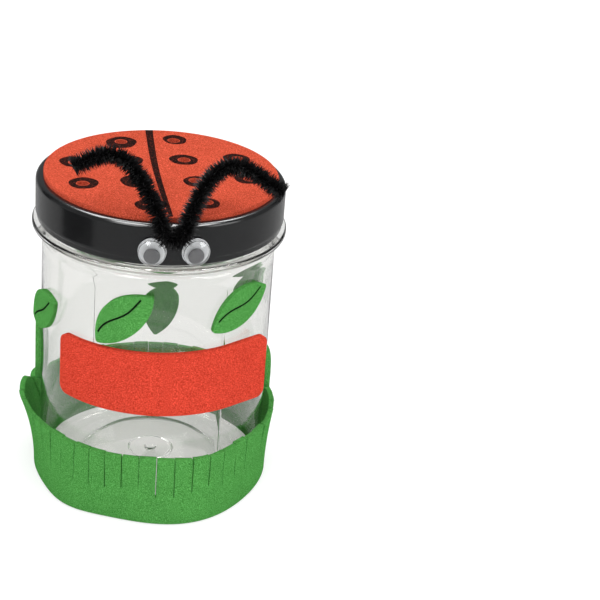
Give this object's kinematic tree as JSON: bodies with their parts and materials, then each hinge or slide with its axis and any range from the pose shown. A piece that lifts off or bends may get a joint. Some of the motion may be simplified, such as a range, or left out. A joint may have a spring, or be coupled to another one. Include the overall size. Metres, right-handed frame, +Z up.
{
  "type": "bug catcher jar",
  "caption": "Clear wide-mouth jar with a black screw lid drilled for air, dressed as a ladybird with foam wing cover, wiggle eyes, chenille antennae, leaves and a grass skirt.",
  "frame": {"origin": "centre of the jar's standing ring, on the surface that it stands on", "axes": "+Z up along the jar's axis; the ladybird's front, with the eyes, faces -Y"},
  "size_m": [0.0994, 0.0999, 0.1465],
  "materials": {
    "clear_plastic": "clear blown plastic, glossy",
    "lid_plastic": "black moulded plastic, semi-gloss",
    "liner_foam": "white foamed plastic, matt",
    "red_foam": "red craft foam, fine grained matt",
    "green_foam": "green craft foam, fine grained matt",
    "chenille_pile": "black chenille pile",
    "stem_wire": "twisted steel wire",
    "glue": "clear hot glue",
    "sticky_pad": "adhesive foam pad",
    "eye_white": "white plastic, satin",
    "eye_clear": "clear formed plastic, glossy",
    "pupil_black": "black plastic, satin"
  },
  "bodies": {
    "jar": {"jar": "clear_plastic", "grass_band": "green_foam", "label": "red_foam", "leaf_1": "green_foam", "leaf_2": "green_foam", "leaf_3": "green_foam", "leaf_4": "green_foam", "leaf_5": "green_foam", "leaf_6": "green_foam", "leaf_7": "green_foam"},
    "liner": {"lid_liner": "liner_foam"},
    "lid": {"lid": "lid_plastic", "wing_cover": "red_foam", "antenna_wire": "stem_wire", "antenna_pile": "chenille_pile", "antenna_glue": "glue", "eye_left_pad": "sticky_pad", "eye_left_back": "eye_white", "eye_left_dome": "eye_clear", "eye_right_pad": "sticky_pad", "eye_right_back": "eye_white", "eye_right_dome": "eye_clear"},
    "pupil_left": {"eye_left_pupil": "pupil_black"},
    "pupil_right": {"eye_right_pupil": "pupil_black"}
  },
  "joints": [
    {"name": "lid_lift", "type": "slide", "parent": "jar", "child": "liner", "axis": [0, 0, 1], "range_m": [0, 0.06]},
    {"name": "lid_turn", "type": "hinge", "parent": "liner", "child": "lid", "pos_m": [0, 0, 0.1194], "axis": [0, 0, 1], "range_deg": [0, 360]},
    {"name": "pupil_left_swing", "type": "hinge", "parent": "lid", "child": "pupil_left", "pos_m": [-0.0076, -0.04668, 0.1115], "axis": [-0.1607, -0.987, 0], "continuous": true},
    {"name": "pupil_right_swing", "type": "hinge", "parent": "lid", "child": "pupil_right", "pos_m": [0.0076, -0.04668, 0.1115], "axis": [0.1607, -0.987, 0], "continuous": true}
  ]
}
